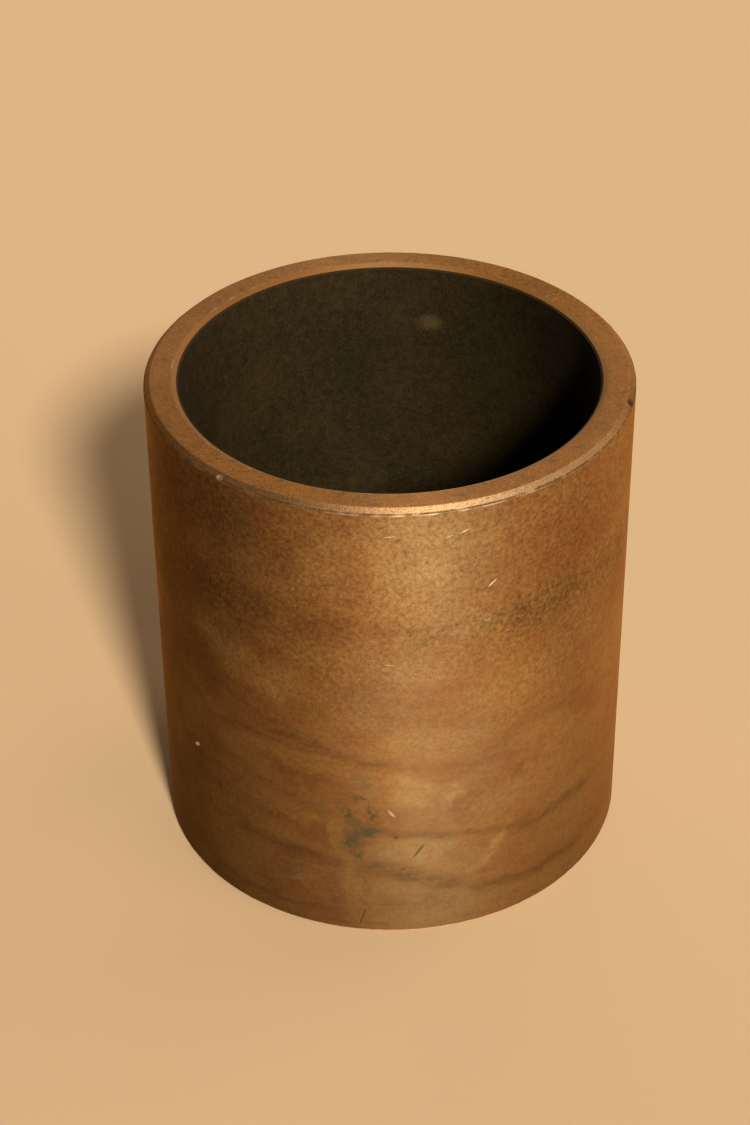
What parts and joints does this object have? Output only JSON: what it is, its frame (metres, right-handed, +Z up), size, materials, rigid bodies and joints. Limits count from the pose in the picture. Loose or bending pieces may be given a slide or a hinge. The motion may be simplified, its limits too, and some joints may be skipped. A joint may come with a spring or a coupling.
{
  "type": "sleeve bushing",
  "caption": "Plain bronze sleeve bushing: a straight open tube with chamfered rims and a thin dark bearing lining in its bore.",
  "frame": {"origin": "centre of the lower end face, on the bore's axis", "axes": "+Z up along the bore's axis; X and Y are equivalent, because the part is round"},
  "size_m": [0.0666, 0.0666, 0.073],
  "materials": {
    "bronze": "aged cast bronze with a brown speckled patina, bare golden metal along the outer chamfer",
    "lining": "matte dark brown-black bonded bearing lining, lightly mottled"
  },
  "bodies": {
    "root": {"bronze_sleeve": "bronze", "bore_lining": "lining"}
  },
  "joints": []
}
